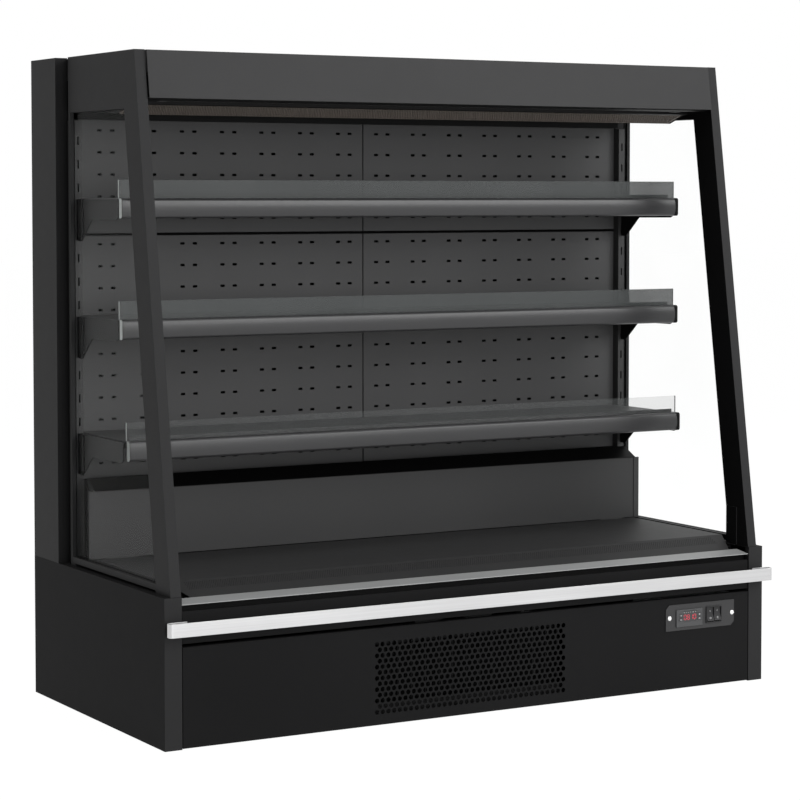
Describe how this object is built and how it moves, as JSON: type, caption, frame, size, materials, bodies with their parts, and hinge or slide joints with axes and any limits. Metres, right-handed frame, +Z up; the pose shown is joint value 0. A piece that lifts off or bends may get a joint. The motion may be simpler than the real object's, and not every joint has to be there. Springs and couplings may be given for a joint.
{
  "type": "open multideck display fridge",
  "caption": "Open-front refrigerated display cabinet with glazed sides, lift-off shelves with price rails, bumper bar, grille and controls on the base.",
  "frame": {"origin": "on the floor, in the middle of the outline with the bumper", "axes": "+X to the right along the front, +Y to the back, +Z up"},
  "size_m": [1.336, 0.647, 1.248],
  "materials": {
    "dark_grey_paint": "satin",
    "mid_grey_paint": "satin",
    "galvanised_sheet": "dull zinc",
    "bumper_metal": "bright",
    "stainless": "brushed",
    "foam_housing": "matt",
    "rail_plastic": "semi-gloss",
    "black_plastic": "matt",
    "key_plastic": "matt",
    "side_glass": "clear",
    "honeycomb_plastic": "matt",
    "control_sheet": "satin",
    "lamp_tube": "frosted",
    "coil_aluminium": "plain",
    "compressor_shell": "gloss"
  },
  "bodies": {
    "cabinet": {"base_side_left": "dark_grey_paint", "base_side_right": "dark_grey_paint", "front_panel": "dark_grey_paint", "front_beam": "dark_grey_paint", "canopy_roof": "dark_grey_paint", "canopy_fascia": "dark_grey_paint", "side_frame_left": "dark_grey_paint", "side_frame_right": "dark_grey_paint", "column_cheek_left": "dark_grey_paint", "column_cheek_right": "dark_grey_paint", "rear_cover": "dark_grey_paint", "return_grille": "mid_grey_paint", "riser_panel": "mid_grey_paint", "air_guide": "mid_grey_paint", "back_panels": "mid_grey_paint", "slotted_uprights": "mid_grey_paint", "shelf_brackets": "mid_grey_paint", "canopy_soffit": "mid_grey_paint", "base_tray": "galvanised_sheet", "electrical_box": "galvanised_sheet", "evaporation_tray": "galvanised_sheet", "bumper_bar": "bumper_metal", "bumper_brackets": "dark_grey_paint", "front_lip": "stainless", "plate_screws": "stainless", "insulated_tub": "foam_housing", "controller": "black_plastic", "rocker_bezel": "black_plastic", "condenser_fan_frame": "black_plastic", "evaporator_fan_frames": "black_plastic", "side_glass_left": "side_glass", "side_glass_right": "side_glass", "discharge_honeycomb": "honeycomb_plastic", "control_plate": "control_sheet", "canopy_lamp": "lamp_tube", "condenser": "coil_aluminium", "evaporator": "coil_aluminium", "compressor": "compressor_shell"},
    "shelf_bottom": {"shelf_bottom": "mid_grey_paint", "price_rail_bottom": "rail_plastic", "rail_caps_bottom": "black_plastic", "glass_upstand_bottom": "side_glass"},
    "shelf_middle": {"shelf_middle": "mid_grey_paint", "price_rail_middle": "rail_plastic", "rail_caps_middle": "black_plastic", "glass_upstand_middle": "side_glass"},
    "shelf_top": {"shelf_top": "mid_grey_paint", "price_rail_top": "rail_plastic", "rail_caps_top": "black_plastic", "glass_upstand_top": "side_glass"},
    "deck": {"deck_pan": "mid_grey_paint"},
    "rocker_left": {"rocker_left": "black_plastic"},
    "rocker_right": {"rocker_right": "black_plastic"},
    "key_up": {"key_up": "key_plastic"},
    "key_down": {"key_down": "key_plastic"},
    "key_set": {"key_set": "key_plastic"},
    "key_defrost": {"key_defrost": "key_plastic"},
    "condenser_fan": {"condenser_fan_rotor": "black_plastic"},
    "evaporator_fan_left": {"evaporator_fan_rotor_left": "black_plastic"},
    "evaporator_fan_right": {"evaporator_fan_rotor_right": "black_plastic"}
  },
  "joints": [
    {"name": "shelf_bottom_lift", "type": "slide", "parent": "cabinet", "child": "shelf_bottom", "axis": [0, 0, 1], "range_m": [0, 0.04]},
    {"name": "shelf_middle_lift", "type": "slide", "parent": "cabinet", "child": "shelf_middle", "axis": [0, 0, 1], "range_m": [0, 0.04]},
    {"name": "shelf_top_lift", "type": "slide", "parent": "cabinet", "child": "shelf_top", "axis": [0, 0, 1], "range_m": [0, 0.04]},
    {"name": "deck_lift", "type": "slide", "parent": "cabinet", "child": "deck", "axis": [0, 0, 1], "range_m": [0, 0.08]},
    {"name": "rocker_left_tilt", "type": "hinge", "parent": "cabinet", "child": "rocker_left", "pos_m": [0.53235, -0.2905, 0.1441], "axis": [1, 0, 0], "range_deg": [0, 16]},
    {"name": "rocker_right_tilt", "type": "hinge", "parent": "cabinet", "child": "rocker_right", "pos_m": [0.55015, -0.2905, 0.1441], "axis": [1, 0, 0], "range_deg": [0, 16]},
    {"name": "key_up_press", "type": "slide", "parent": "cabinet", "child": "key_up", "axis": [0, 1, 0], "range_m": [0, 0.0006], "stiffness_N_per_m": 300},
    {"name": "key_down_press", "type": "slide", "parent": "cabinet", "child": "key_down", "axis": [0, 1, 0], "range_m": [0, 0.0006], "stiffness_N_per_m": 300},
    {"name": "key_set_press", "type": "slide", "parent": "cabinet", "child": "key_set", "axis": [0, 1, 0], "range_m": [0, 0.0006], "stiffness_N_per_m": 300},
    {"name": "key_defrost_press", "type": "slide", "parent": "cabinet", "child": "key_defrost", "axis": [0, 1, 0], "range_m": [0, 0.0006], "stiffness_N_per_m": 300},
    {"name": "condenser_fan_spin", "type": "hinge", "parent": "cabinet", "child": "condenser_fan", "pos_m": [-0.0266, -0.2085, 0.1], "axis": [0, 1, 0], "continuous": true},
    {"name": "evaporator_fan_left_spin", "type": "hinge", "parent": "cabinet", "child": "evaporator_fan_left", "pos_m": [-0.29925, 0.151, 0.3], "axis": [0, 1, 0], "continuous": true},
    {"name": "evaporator_fan_right_spin", "type": "hinge", "parent": "cabinet", "child": "evaporator_fan_right", "pos_m": [0.29925, 0.151, 0.3], "axis": [0, 1, 0], "continuous": true}
  ]
}
